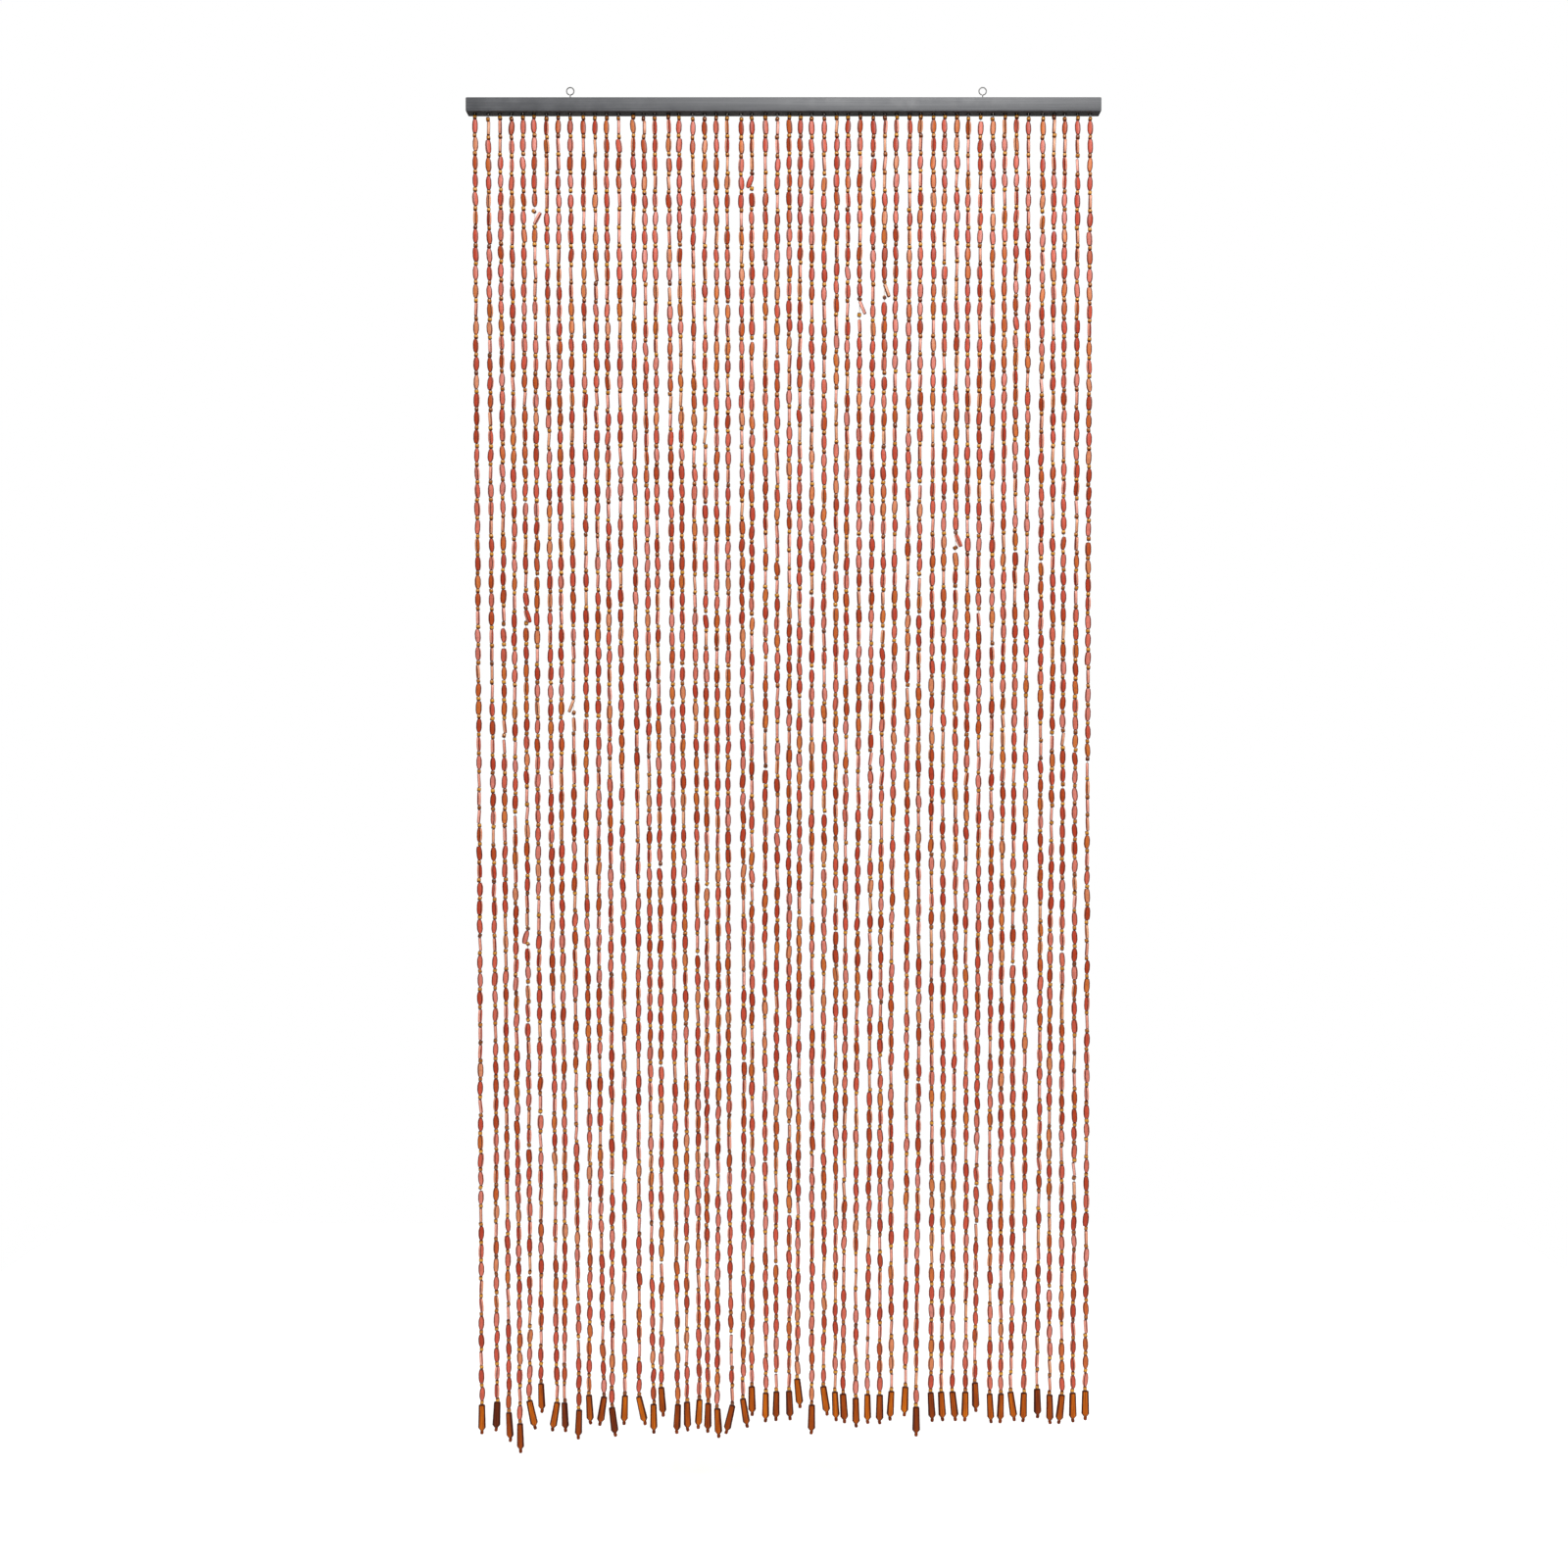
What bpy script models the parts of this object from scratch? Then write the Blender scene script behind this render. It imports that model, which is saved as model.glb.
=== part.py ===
"""Bead curtain for a doorway: a wooden rail, two screw eyes, and strings of wooden beads.

The rail lies along X, the front faces -Y and +Z is up, in metres. The curtain hangs by its
two screw eyes, so the origin lies at the height of their rings' centres, over the middle of
the rail. Each string is one strand here, as wide and as deep as its beads are on average,
from its bare thread under the rail to the long pendant and the end bead that finish it.
"""

import math
import random
from collections import namedtuple

import bmesh
import bpy
from mathutils import Matrix, Vector

CLEARANCE = 0.0003  # between two pieces that touch

# Rail
RAIL_LENGTH = 0.900
RAIL_DEPTH = 0.025
RAIL_HEIGHT = 0.020
RAIL_TOP = -0.0120
RAIL_UNDERSIDE = RAIL_TOP - RAIL_HEIGHT
RAIL_ROUNDING = 0.0015

# Screw eyes: the ring stands upright and faces the front, and the shank goes into the rail
EYE_PLACES = {"screw_eye_left": -0.303, "screw_eye_right": 0.283}
EYE_RADIUS = 0.0052  # to the middle of the wire
WIRE_RADIUS = 0.0008
SHANK_RADIUS = 0.00075
SHANK_SIDES = 8
SHANK_IN_RAIL = 0.012

# Strip that the threads are fixed to, in a groove along the rail's underside
STRIP_DEPTH = 0.0084
STRIP_HEIGHT = 0.0040
STRIP_PAST_STRINGS = 0.0050

# Threads and beads
STRING_COUNT = 52
LEFT_MARGIN = 0.0113  # from the rail's end to the first string
RIGHT_MARGIN = 0.0141
THREAD = 0.0016  # the doubled thread that shows under the rail
SPACER_LENGTH = 0.0063
SPACER_WIDTH = 0.0052
STRAND_WIDTH = 0.0062  # mean of the beads, most of which turn their broad side to the front
STRAND_DEPTH = 0.0054
PENDANT_LENGTH = 0.0370
END_BEAD_LENGTH = 0.0055
BENDS = 8  # places along a string where its strand bends, closer together towards the hem
BEND_CROWDING = 1.5
KINK = 20  # how near the hem a string kinks where its pendant swings: a power of the depth
SEED = 26

# Pendant and end bead, from the pendant's top down
Step = namedtuple("Step", "below width depth")
PENDANT_STEPS = (
    Step(0.0000, 0.0072, 0.0056),
    Step(PENDANT_LENGTH - 0.0040, 0.0093, 0.0062),
    Step(PENDANT_LENGTH, 0.0046, 0.0046),
    Step(PENDANT_LENGTH + END_BEAD_LENGTH, 0.0040, 0.0040),
)

# Runs of strings, from left to right: how far they lean to the right at the hem, and how far
# they reach below the rail's top
Run = namedtuple("Run", "last_string lean drop")
RUNS = (
    Run(6, 0.006, 1.908),
    Run(13, 0.008, 1.906),
    Run(19, 0.010, 1.905),
    Run(23, 0.004, 1.907),
    Run(31, -0.001, 1.890),
    Run(37, -0.006, 1.891),
    Run(52, -0.001, 1.891),
)

# Strings that stand out at the hem: how much lower they reach than their run, and how far
# the pendant swings about its middle, its lower end to the right
StandOut = namedtuple("StandOut", "string lower swing_degrees")
STAND_OUTS = (
    StandOut(3, 0.014, 3),
    StandOut(4, 0.029, 1),
    StandOut(5, -0.004, 12),
    StandOut(6, -0.029, 2),
    StandOut(7, 0.000, -10),
    StandOut(9, 0.012, -2),
    StandOut(10, -0.010, 3),
    StandOut(11, -0.007, -9),
    StandOut(12, 0.008, 7),
    StandOut(13, -0.009, -2),
    StandOut(14, -0.007, 13),
    StandOut(16, -0.020, 4),
    StandOut(21, 0.009, 3),
    StandOut(22, 0.004, -13),
    StandOut(23, -0.005, 9),
    StandOut(24, -0.007, 1),
    StandOut(28, -0.018, 6),
    StandOut(29, 0.020, -1),
    StandOut(30, -0.007, 8),
    StandOut(33, 0.009, 1),
    StandOut(37, -0.007, -2),
    StandOut(38, 0.022, 0),
    StandOut(41, 0.000, 6),
    StandOut(43, -0.013, 2),
    StandOut(46, 0.000, 8),
    StandOut(50, 0.005, -6),
)

# What the draw for each string gives
String = namedtuple(
    "String",
    "root lean sway_x sway_y waves phase_x phase_y thread length swing turn",
)


def plan_strings():
    """The hang of every string, from left to right."""
    draw = random.Random(SEED)
    first = -RAIL_LENGTH / 2 + LEFT_MARGIN
    pitch = (RAIL_LENGTH - LEFT_MARGIN - RIGHT_MARGIN) / (STRING_COUNT - 1)
    stand_outs = {row.string: row for row in STAND_OUTS}
    strings = []
    for number in range(1, STRING_COUNT + 1):
        run = next(row for row in RUNS if number <= row.last_string)
        inner = 0 if number in (1, STRING_COUNT) else 1
        shift = inner * draw.uniform(-0.0019, 0.0019)
        lean = run.lean + draw.uniform(-0.0020, 0.0020)
        sway_x = draw.uniform(0.0004, 0.0016)
        sway_y = draw.uniform(0.0006, 0.0022)
        waves = draw.uniform(1.0, 2.1)
        phase_x = draw.random()
        phase_y = draw.random()
        thread = draw.uniform(0.0012, 0.0045)
        lower = draw.uniform(-0.0045, 0.0045)
        swing = draw.uniform(-3.5, 3.5)
        turn = draw.uniform(-14, 14)
        if number in stand_outs:
            lower = stand_outs[number].lower
            swing = stand_outs[number].swing_degrees
        strings.append(
            String(
                root=first + (number - 1) * pitch + shift,
                lean=lean,
                sway_x=sway_x,
                sway_y=sway_y,
                waves=waves,
                phase_x=phase_x,
                phase_y=phase_y,
                thread=thread,
                length=run.drop - RAIL_HEIGHT + lower,
                swing=math.radians(swing),
                turn=math.radians(turn),
            )
        )
    return strings


def string_point(string, depth):
    """The middle of a string at a depth below the rail's underside."""
    share = depth / string.length
    wave_x = math.sin(math.tau * (string.waves * share + string.phase_x))
    wave_y = math.sin(math.tau * (string.waves * share + string.phase_y))
    kink = math.sin(string.swing) * PENDANT_LENGTH / 2 * max(share, 0) ** KINK
    x = string.root + share * (string.lean + string.sway_x * wave_x) - kink
    y = share * string.sway_y * wave_y
    return Vector((x, y, RAIL_UNDERSIDE - depth))


def add_material(name, colour, roughness, metallic=0.0):
    """A finish with one colour, given as linear red, green and blue."""
    material = bpy.data.materials.new(name)
    material.use_nodes = True
    shader = material.node_tree.nodes["Principled BSDF"]
    shader.inputs["Base Color"].default_value = (*colour, 1.0)
    shader.inputs["Roughness"].default_value = roughness
    shader.inputs["Metallic"].default_value = metallic
    material.diffuse_color = (*colour, 1.0)
    return material


def add_box(name, size, centre):
    """A box of the given size, with its place in its mesh."""
    mesh = bpy.data.meshes.new(name)
    bm = bmesh.new()
    bmesh.ops.create_cube(bm, size=1.0)
    bmesh.ops.scale(bm, vec=size, verts=bm.verts)
    bmesh.ops.translate(bm, vec=centre, verts=bm.verts)
    bm.to_mesh(mesh)
    bm.free()
    box = bpy.data.objects.new(name, mesh)
    bpy.context.collection.objects.link(box)
    return box


def add_post(name, x, radius, top, bottom):
    """An upright eight-sided post, for a screw eye's shank and the hole that holds it."""
    mesh = bpy.data.meshes.new(name)
    bm = bmesh.new()
    bmesh.ops.create_cone(
        bm,
        cap_ends=True,
        segments=SHANK_SIDES,
        radius1=radius,
        radius2=radius,
        depth=top - bottom,
    )
    bmesh.ops.translate(bm, vec=(x, 0, (top + bottom) / 2), verts=bm.verts)
    bm.to_mesh(mesh)
    bm.free()
    post = bpy.data.objects.new(name, mesh)
    bpy.context.collection.objects.link(post)
    return post


def combine(target, other, operation):
    """Unites `target` with `other` or cuts `other` from it, and leaves `other` as a guide."""
    modifier = target.modifiers.new(other.name, "BOOLEAN")
    modifier.operation = operation
    modifier.solver = "EXACT"
    modifier.object = other
    other.hide_render = True
    other.display_type = "WIRE"


def strip_size():
    """Length, depth and height of the strip that holds the threads."""
    length = RAIL_LENGTH - LEFT_MARGIN - RIGHT_MARGIN + 2 * STRIP_PAST_STRINGS
    return Vector((length, STRIP_DEPTH, STRIP_HEIGHT))


def strip_centre():
    """The strip lies flush with the rail's underside."""
    middle = (LEFT_MARGIN - RIGHT_MARGIN) / 2
    return Vector((middle, 0, RAIL_UNDERSIDE + STRIP_HEIGHT / 2))


def make_rail():
    """The painted bar, with a groove below for the strip and two holes above for the eyes."""
    size = Vector((RAIL_LENGTH, RAIL_DEPTH, RAIL_HEIGHT))
    rail = add_box("rail", size, Vector((0, 0, RAIL_TOP - RAIL_HEIGHT / 2)))
    rounding = rail.modifiers.new("rounded edges", "BEVEL")
    rounding.width = RAIL_ROUNDING
    rounding.segments = 2

    around = 2 * CLEARANCE
    open_side = RAIL_ROUNDING  # how far the groove's cutter reaches below the rail
    groove_size = strip_size() + Vector((around, around, CLEARANCE + open_side))
    groove_centre = strip_centre() + Vector((0, 0, (CLEARANCE - open_side) / 2))
    combine(rail, add_box("groove cutter", groove_size, groove_centre), "DIFFERENCE")

    hole_radius = SHANK_RADIUS + CLEARANCE / math.cos(math.pi / SHANK_SIDES)
    hole_bottom = RAIL_TOP - SHANK_IN_RAIL - CLEARANCE
    for name, x in EYE_PLACES.items():
        hole = add_post(name + " hole cutter", x, hole_radius, RAIL_TOP + CLEARANCE, hole_bottom)
        combine(rail, hole, "DIFFERENCE")

    rail.data.materials.append(add_material("charcoal grey paint", (0.105, 0.108, 0.115), 0.6))


def make_screw_eye(name, x):
    """A wire ring with its shank."""
    bpy.ops.mesh.primitive_torus_add(
        location=(x, 0, 0),
        rotation=(math.pi / 2, 0, 0),
        major_segments=20,
        minor_segments=8,
        major_radius=EYE_RADIUS,
        minor_radius=WIRE_RADIUS,
    )
    eye = bpy.context.active_object
    eye.name = name
    eye.data.shade_smooth()
    eye.data.set_sharp_from_angle(angle=math.radians(40))
    shank = add_post(name + " shank", x, SHANK_RADIUS, -EYE_RADIUS, RAIL_TOP - SHANK_IN_RAIL)
    combine(eye, shank, "UNION")
    finish = add_material(name + " zinc plate", (0.52, 0.52, 0.51), 0.35, metallic=1.0)
    eye.data.materials.append(finish)


def add_ring(bm, centre, width, depth, turned):
    """Four corners of a strand around `centre`, in order as seen from above."""
    corners = ((-1, -1), (1, -1), (1, 1), (-1, 1))
    return [
        bm.verts.new(centre + turned @ Vector((side * width / 2, face * depth / 2, 0)))
        for side, face in corners
    ]


def add_strand(bm, string):
    """One string: thread, run of beads, spacer, pendant and end bead."""
    upright = Matrix.Identity(3)
    swung = Matrix.Rotation(-string.swing, 3, "Y") @ Matrix.Rotation(string.turn, 3, "Z")
    pendant_at = string.length - PENDANT_LENGTH - END_BEAD_LENGTH
    beads_end = pendant_at - SPACER_LENGTH

    inside_strip = string_point(string, -STRIP_HEIGHT / 2)
    rings = [
        add_ring(bm, inside_strip, THREAD, THREAD, upright),
        add_ring(bm, string_point(string, string.thread), THREAD, THREAD, upright),
    ]
    for bend in range(BENDS + 1):
        share = 1 - (1 - bend / BENDS) ** BEND_CROWDING
        depth = string.thread + (beads_end - string.thread) * share
        centre = string_point(string, depth)
        rings.append(add_ring(bm, centre, STRAND_WIDTH, STRAND_DEPTH, upright))

    pendant_top = string_point(string, pendant_at)
    rings.append(add_ring(bm, pendant_top, SPACER_WIDTH, SPACER_WIDTH, upright))
    for step in PENDANT_STEPS:
        centre = pendant_top + swung @ Vector((0, 0, -step.below))
        rings.append(add_ring(bm, centre, step.width, step.depth, swung))

    for upper, lower in zip(rings, rings[1:]):
        for corner in range(4):
            after = (corner + 1) % 4
            bm.faces.new((lower[corner], lower[after], upper[after], upper[corner]))
    bm.faces.new(rings[0])
    bm.faces.new(reversed(rings[-1]))


def make_strings():
    """All the strings, with their threads fixed in the strip."""
    mesh = bpy.data.meshes.new("strands")
    bm = bmesh.new()
    for string in plan_strings():
        add_strand(bm, string)
    bm.to_mesh(mesh)
    bm.free()
    strands = bpy.data.objects.new("strands", mesh)
    bpy.context.collection.objects.link(strands)

    strings = add_box("strings", strip_size(), strip_centre())
    combine(strings, strands, "UNION")
    strings.data.materials.append(add_material("coral stained wood", (0.45, 0.13, 0.075), 0.5))


for old in list(bpy.data.objects):
    bpy.data.objects.remove(old, do_unlink=True)

make_rail()
for eye_name, eye_x in EYE_PLACES.items():
    make_screw_eye(eye_name, eye_x)
make_strings()
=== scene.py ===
"""Bead curtain for a doorway: strings of stained wooden beads under a painted wooden rail.

The rail lies along X, the front faces -Y and +Z is up, in metres. The curtain hangs by two
screw eyes in the rail's top. Pieces follow in the order in which the curtain is put together.
"""

import math
import random
from collections import namedtuple

import bmesh
import bpy
import numpy as np
from mathutils import Matrix, Vector


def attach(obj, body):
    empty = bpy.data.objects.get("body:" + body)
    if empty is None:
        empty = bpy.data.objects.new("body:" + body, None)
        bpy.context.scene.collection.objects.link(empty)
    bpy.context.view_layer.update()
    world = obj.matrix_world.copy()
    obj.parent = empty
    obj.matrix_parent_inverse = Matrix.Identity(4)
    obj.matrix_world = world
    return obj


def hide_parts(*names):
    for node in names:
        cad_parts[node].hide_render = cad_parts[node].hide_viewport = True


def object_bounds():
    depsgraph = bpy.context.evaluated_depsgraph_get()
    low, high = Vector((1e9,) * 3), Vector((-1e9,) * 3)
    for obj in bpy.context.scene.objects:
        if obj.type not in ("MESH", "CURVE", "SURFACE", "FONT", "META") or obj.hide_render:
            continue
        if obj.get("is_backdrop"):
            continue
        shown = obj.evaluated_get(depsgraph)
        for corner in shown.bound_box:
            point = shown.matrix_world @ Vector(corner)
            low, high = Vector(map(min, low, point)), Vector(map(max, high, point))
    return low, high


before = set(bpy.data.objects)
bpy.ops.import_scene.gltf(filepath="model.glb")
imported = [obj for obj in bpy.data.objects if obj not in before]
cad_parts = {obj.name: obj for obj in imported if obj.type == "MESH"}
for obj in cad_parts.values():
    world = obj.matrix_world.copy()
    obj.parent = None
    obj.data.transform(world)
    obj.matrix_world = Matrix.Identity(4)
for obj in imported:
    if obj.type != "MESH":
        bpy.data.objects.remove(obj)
cad_low, cad_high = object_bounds()


# Hang of the strings: 52 nylon threads, tied off in the rail and left to hang. Each keeps a
# little of the curl it was packed with, and the hem is uneven because beads differ in length.
# The same sizes and draws as in the solids give every thread its root, route and length.
RAIL_LENGTH = 0.900
RAIL_HEIGHT = 0.020
RAIL_TOP = -0.0120
RAIL_UNDERSIDE = RAIL_TOP - RAIL_HEIGHT
STRING_COUNT = 52
LEFT_MARGIN = 0.0113  # from the rail's end to the first string
RIGHT_MARGIN = 0.0141
SPACER_LENGTH = 0.0063
PENDANT_LENGTH = 0.0370
END_BEAD_LENGTH = 0.0055
KINK = 20  # how near the hem a string kinks where its pendant swings: a power of the depth
SEED = 26

Run = namedtuple("Run", "last_string lean drop")
RUNS = (
    Run(6, 0.006, 1.908),
    Run(13, 0.008, 1.906),
    Run(19, 0.010, 1.905),
    Run(23, 0.004, 1.907),
    Run(31, -0.001, 1.890),
    Run(37, -0.006, 1.891),
    Run(52, -0.001, 1.891),
)

StandOut = namedtuple("StandOut", "string lower swing_degrees")
STAND_OUTS = (
    StandOut(3, 0.014, 3),
    StandOut(4, 0.029, 1),
    StandOut(5, -0.004, 12),
    StandOut(6, -0.029, 2),
    StandOut(7, 0.000, -10),
    StandOut(9, 0.012, -2),
    StandOut(10, -0.010, 3),
    StandOut(11, -0.007, -9),
    StandOut(12, 0.008, 7),
    StandOut(13, -0.009, -2),
    StandOut(14, -0.007, 13),
    StandOut(16, -0.020, 4),
    StandOut(21, 0.009, 3),
    StandOut(22, 0.004, -13),
    StandOut(23, -0.005, 9),
    StandOut(24, -0.007, 1),
    StandOut(28, -0.018, 6),
    StandOut(29, 0.020, -1),
    StandOut(30, -0.007, 8),
    StandOut(33, 0.009, 1),
    StandOut(37, -0.007, -2),
    StandOut(38, 0.022, 0),
    StandOut(41, 0.000, 6),
    StandOut(43, -0.013, 2),
    StandOut(46, 0.000, 8),
    StandOut(50, 0.005, -6),
)

String = namedtuple(
    "String",
    "root lean sway_x sway_y waves phase_x phase_y thread length swing turn",
)


def plan_strings():
    """The hang of every string, from left to right."""
    draw = random.Random(SEED)
    first = -RAIL_LENGTH / 2 + LEFT_MARGIN
    pitch = (RAIL_LENGTH - LEFT_MARGIN - RIGHT_MARGIN) / (STRING_COUNT - 1)
    stand_outs = {row.string: row for row in STAND_OUTS}
    strings = []
    for number in range(1, STRING_COUNT + 1):
        run = next(row for row in RUNS if number <= row.last_string)
        inner = 0 if number in (1, STRING_COUNT) else 1
        shift = inner * draw.uniform(-0.0019, 0.0019)
        lean = run.lean + draw.uniform(-0.0020, 0.0020)
        sway_x = draw.uniform(0.0004, 0.0016)
        sway_y = draw.uniform(0.0006, 0.0022)
        waves = draw.uniform(1.0, 2.1)
        phase_x = draw.random()
        phase_y = draw.random()
        thread = draw.uniform(0.0012, 0.0045)
        lower = draw.uniform(-0.0045, 0.0045)
        swing = draw.uniform(-3.5, 3.5)
        turn = draw.uniform(-14, 14)
        if number in stand_outs:
            lower = stand_outs[number].lower
            swing = stand_outs[number].swing_degrees
        strings.append(
            String(
                root=first + (number - 1) * pitch + shift,
                lean=lean,
                sway_x=sway_x,
                sway_y=sway_y,
                waves=waves,
                phase_x=phase_x,
                phase_y=phase_y,
                thread=thread,
                length=run.drop - RAIL_HEIGHT + lower,
                swing=math.radians(swing),
                turn=math.radians(turn),
            )
        )
    return strings


def string_point(string, depth):
    """The middle of a string at a depth below the rail's underside."""
    share = depth / string.length
    wave_x = math.sin(math.tau * (string.waves * share + string.phase_x))
    wave_y = math.sin(math.tau * (string.waves * share + string.phase_y))
    kink = math.sin(string.swing) * PENDANT_LENGTH / 2 * max(share, 0) ** KINK
    x = string.root + share * (string.lean + string.sway_x * wave_x) - kink
    y = share * string.sway_y * wave_y
    return Vector((x, y, RAIL_UNDERSIDE - depth))


strings = plan_strings()


# Rail: a bar of planed softwood with eased edges, drilled from below for each thread and from
# above for the two screw eyes, then brushed with charcoal grey satin paint. It starts as a
# box, its edges are bevelled, and upright drills cut the holes to their depth.
RAIL_DEPTH = 0.025
RAIL_EASING = 0.0015
THREAD_HOLE = 0.0034  # radius
THREAD_HOLE_DEEP = 0.011
DRILL_OUTSIDE = 0.001  # of a drill's length, left outside the wood
EYE_PLACES = {"screw_eye_left": -0.303, "screw_eye_right": 0.283}
EYE_HOLE = 0.00105  # radius
EYE_HOLE_DEEP = 0.0123


def linear(colour):
    """A colour written as sRGB hex, as linear red, green, blue and alpha."""
    parts = [int(colour[i:i + 2], 16) / 255 for i in (1, 3, 5)]
    return (*[c / 12.92 if c < 0.04045 else ((c + 0.055) / 1.055) ** 2.4 for c in parts], 1.0)


def add_node(material, kind, inputs=None, stops=(), **settings):
    """Adds a shader node with its settings. inputs gives an input socket its value, or the
    output that feeds it, and stops are a colour ramp's places with their sRGB hex colours."""
    node = material.node_tree.nodes.new("ShaderNode" + kind)
    for key, value in settings.items():
        setattr(node, key, value)
    for socket, source in (inputs or {}).items():
        if isinstance(source, bpy.types.NodeSocket):
            material.node_tree.links.new(source, node.inputs[socket])
        else:
            node.inputs[socket].default_value = source
    for position, (place, colour) in enumerate(stops):
        if position > 1:
            node.color_ramp.elements.new(place)
        node.color_ramp.elements[position].position = place
        node.color_ramp.elements[position].color = linear(colour)
    return node


def new_material(name, **settings):
    """A new material and its Principled shader, with the shader's own settings."""
    material = bpy.data.materials.new(name)
    material.use_nodes = True
    shader = material.node_tree.nodes["Principled BSDF"]
    for key, value in settings.items():
        shader.inputs[key.replace("_", " ")].default_value = value
    return material, shader


def feed(material, source, shader, socket):
    """Links an output to one of the shader's sockets."""
    material.node_tree.links.new(source, shader.inputs[socket])


def begin(operator, **settings):
    """Adds a primitive with nothing else selected, with its place and size in its mesh."""
    if bpy.context.mode != "OBJECT":
        bpy.ops.object.mode_set(mode="OBJECT")
    bpy.ops.object.select_all(action="DESELECT")
    operator(**settings)
    bpy.ops.object.transform_apply(location=True, rotation=True, scale=True)
    return bpy.context.active_object


def pick(what, test):
    """In edit mode, selects only the vertices, edges or faces that pass the test."""
    bpy.ops.mesh.select_mode(type=what)
    bpy.ops.mesh.select_all(action="DESELECT")
    shape = bmesh.from_edit_mesh(bpy.context.edit_object.data)
    shape.normal_update()
    for part in {"VERT": shape.verts, "EDGE": shape.edges, "FACE": shape.faces}[what]:
        if test(part):
            part.select_set(True)
    bmesh.update_edit_mesh(bpy.context.edit_object.data)


def drill(target, holes, name):
    """Cuts upright round holes, each given as its x, radius, lowest and highest z."""
    drills = []
    for x, radius, low, high in holes:
        drills.append(
            begin(
                bpy.ops.mesh.primitive_cylinder_add,
                vertices=20,
                radius=radius,
                depth=high - low,
                location=(x, 0, (low + high) / 2),
            )
        )
    for one in drills:
        one.select_set(True)
    bpy.context.view_layer.objects.active = drills[0]
    bpy.ops.object.join()
    bits = bpy.context.active_object
    cut = target.modifiers.new(name, "BOOLEAN")
    cut.operation = "DIFFERENCE"
    cut.object = bits
    with bpy.context.temp_override(object=target, active_object=target):
        bpy.ops.object.modifier_apply(modifier=name)
    bpy.data.objects.remove(bits)


def mark_faces(shape, called, test):
    """Gives each face that passes the test the value 1, and 0 to the others."""
    layer = shape.data.attributes.new(called, "FLOAT", "FACE")
    for face in shape.data.polygons:
        layer.data[face.index].value = float(test(face))


def finish_piece(piece, name, material, replaced, sharp_degrees=35):
    """Names a piece, shades and paints it, hangs it on the root body and hides the CAD part that it
    stands for.
    """
    if bpy.context.mode != "OBJECT":
        bpy.ops.object.mode_set(mode="OBJECT")
    bpy.ops.object.select_all(action="DESELECT")
    piece.name = piece.data.name = name
    piece.select_set(True)
    bpy.context.view_layer.objects.active = piece
    bpy.ops.object.shade_smooth_by_angle(angle=math.radians(sharp_degrees))
    piece.data.materials.clear()
    piece.data.materials.append(material)
    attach(piece, "root")
    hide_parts(replaced)


def in_thread_hole(point):
    """Whether a point in the rail is on the wall of one of the holes for the threads."""
    low_enough = point.z < RAIL_UNDERSIDE + THREAD_HOLE_DEEP
    off_the_ends = abs(point.x) < RAIL_LENGTH / 2 - RAIL_EASING
    return low_enough and off_the_ends and abs(point.y) < THREAD_HOLE


rail = begin(
    bpy.ops.mesh.primitive_cube_add,
    size=1,
    location=(0, 0, RAIL_TOP - RAIL_HEIGHT / 2),
    scale=(RAIL_LENGTH, RAIL_DEPTH, RAIL_HEIGHT),
)
bpy.ops.object.mode_set(mode="EDIT")
bpy.ops.mesh.select_all(action="SELECT")
bpy.ops.mesh.bevel(offset=RAIL_EASING, segments=3, affect="EDGES")
bpy.ops.object.mode_set(mode="OBJECT")
low, high = RAIL_UNDERSIDE - DRILL_OUTSIDE, RAIL_UNDERSIDE + THREAD_HOLE_DEEP
drill(rail, [(string.root, THREAD_HOLE, low, high) for string in strings], "thread holes")
low, high = RAIL_TOP - EYE_HOLE_DEEP, RAIL_TOP + DRILL_OUTSIDE
drill(rail, [(x, EYE_HOLE, low, high) for x in EYE_PLACES.values()], "eye holes")
# The underside and the walls of the thread holes: these faces get painted shade
mark_faces(rail, "below", lambda f: f.normal.z < -0.9 or in_thread_hole(f.center))

# Charcoal satin emulsion on planed pine: an even dark grey that the eye reads as slightly
# cloudy, with the brush marks and the long grain telegraphing through as faint ridges. The
# underside and the walls of the thread holes are painted near black and mottled: painted
# shade, for the shade under the rail and inside the holes.
paint, shader = new_material("charcoal_satin_paint_on_pine", Roughness=0.5, IOR=1.5)
# Brush marks about 1.7 mm wide and 170 mm long, and clouds about 22 mm across
where = add_node(paint, "TexCoord").outputs["Object"]
along = add_node(paint, "Mapping", {"Vector": where, "Scale": (6, 600, 600)})
grain = add_node(paint, "TexNoise", {"Vector": along.outputs[0], "Scale": 1.0, "Detail": 4.0})
cloud = add_node(
    paint, "TexNoise", {"Vector": where, "Scale": 45.0, "Detail": 5.0, "Roughness": 0.6}
)
both = add_node(
    paint, "Math", {0: grain.outputs["Fac"], 1: cloud.outputs["Fac"]}, operation="ADD"
)
half = add_node(paint, "Math", {0: both.outputs[0], 1: 0.5}, operation="MULTIPLY")
coat = add_node(
    paint,
    "ValToRGB",
    {"Fac": half.outputs[0]},
    stops=((0.36, "#404144"), (0.5, "#48494c"), (0.64, "#545558")),
)
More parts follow.
